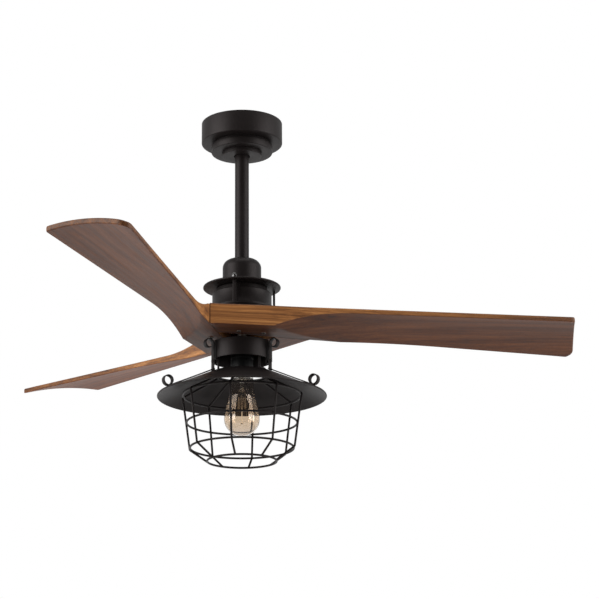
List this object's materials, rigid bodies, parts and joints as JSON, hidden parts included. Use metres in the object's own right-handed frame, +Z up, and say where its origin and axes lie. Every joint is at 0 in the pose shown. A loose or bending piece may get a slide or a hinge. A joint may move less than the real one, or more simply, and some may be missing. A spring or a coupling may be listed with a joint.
{
  "type": "ceiling fan with light",
  "caption": "Ceiling fan with a downrod, carved wooden blades in a pinwheel, and a bulb in a wire cage under a cone shade.",
  "frame": {"origin": "centre of the two ceiling bolts, on the fan's axis, in the ceiling plane", "axes": "+Z up along the downrod, +X along the bolt line; the first blade points 9 degrees from +X towards +Y"},
  "size_m": [1.1021, 1.1743, 0.6626],
  "materials": {
    "dark_metal": "satin powder coat, near black with a warm cast",
    "zinc_steel": "zinc plated",
    "walnut": "satin oiled, grain along the blade",
    "black_plastic": "matte",
    "nylon": "semi-gloss",
    "lead_insulation": "semi-gloss",
    "cast_alloy": "as cast",
    "laminations": "stacked sheet",
    "copper_winding": "enamelled copper",
    "bearing_steel": "ground",
    "magnet": "coated ferrite",
    "screw_steel": "blackened",
    "phenolic": "semi-gloss",
    "lamp_cap": "rolled thread",
    "amber_glass": "clear amber",
    "stem_glass": "clear",
    "filament": "fine wire"
  },
  "bodies": {
    "ceiling_mount": {"ceiling_plate": "zinc_steel", "hanger_cradle": "zinc_steel", "canopy_tabs": "zinc_steel", "canopy": "dark_metal", "canopy_screws": "zinc_steel", "canopy_tier": "dark_metal", "rod_collar": "dark_metal", "receiver_box": "black_plastic", "wire_connectors": "nylon", "register_pins": "zinc_steel"},
    "hanger_ball": {"hanger_ball": "dark_metal"},
    "hanging": {"hanger_pin": "zinc_steel", "downrod": "dark_metal", "supply_leads": "lead_insulation", "coupling_cover": "dark_metal", "rod_yoke": "cast_alloy", "yoke_pin": "zinc_steel", "motor_shaft": "zinc_steel", "stator_core": "laminations", "stator_windings": "copper_winding", "lamp_housing": "dark_metal", "shaft_nut": "zinc_steel", "shade_posts": "dark_metal", "socket_spider": "dark_metal", "lamp_socket": "phenolic", "lower_strap_right": "dark_metal", "lower_strap_back": "dark_metal", "lower_strap_left": "dark_metal", "strap_screws": "dark_metal", "shade": "dark_metal", "shade_screws": "dark_metal", "cage_clips": "dark_metal", "cage_collar": "dark_metal", "cage_ring_top": "dark_metal", "cage_ring_upper": "dark_metal", "cage_ring_lower": "dark_metal", "cage_ring_base": "dark_metal", "cage_spokes": "dark_metal", "cage_uprights": "dark_metal", "cage_struts": "dark_metal", "bulb_base": "lamp_cap", "bulb_glass": "amber_glass", "bulb_stem": "stem_glass", "bulb_filament": "filament"},
    "rotor": {"flange_disc": "dark_metal", "upper_straps": "dark_metal", "cap_nuts": "dark_metal", "motor_housing": "dark_metal", "upper_bearing": "bearing_steel", "lower_bearing": "bearing_steel", "back_iron": "laminations", "rotor_magnets": "magnet", "blade_plate": "dark_metal", "blade_right": "walnut", "blade_back": "walnut", "blade_left": "walnut", "blade_screws": "screw_steel"}
  },
  "joints": [
    {"name": "ball_tilt", "type": "hinge", "parent": "ceiling_mount", "child": "hanger_ball", "pos_m": [0, 0, -0.03], "axis": [1, 0, 0], "range_deg": [-2, 2]},
    {"name": "pin_tilt", "type": "hinge", "parent": "hanger_ball", "child": "hanging", "pos_m": [0, 0, -0.03], "axis": [0, 1, 0], "range_deg": [-2, 2]},
    {"name": "rotor_spin", "type": "hinge", "parent": "hanging", "child": "rotor", "pos_m": [0, 0, -0.36], "axis": [0, 0, 1], "continuous": true}
  ]
}
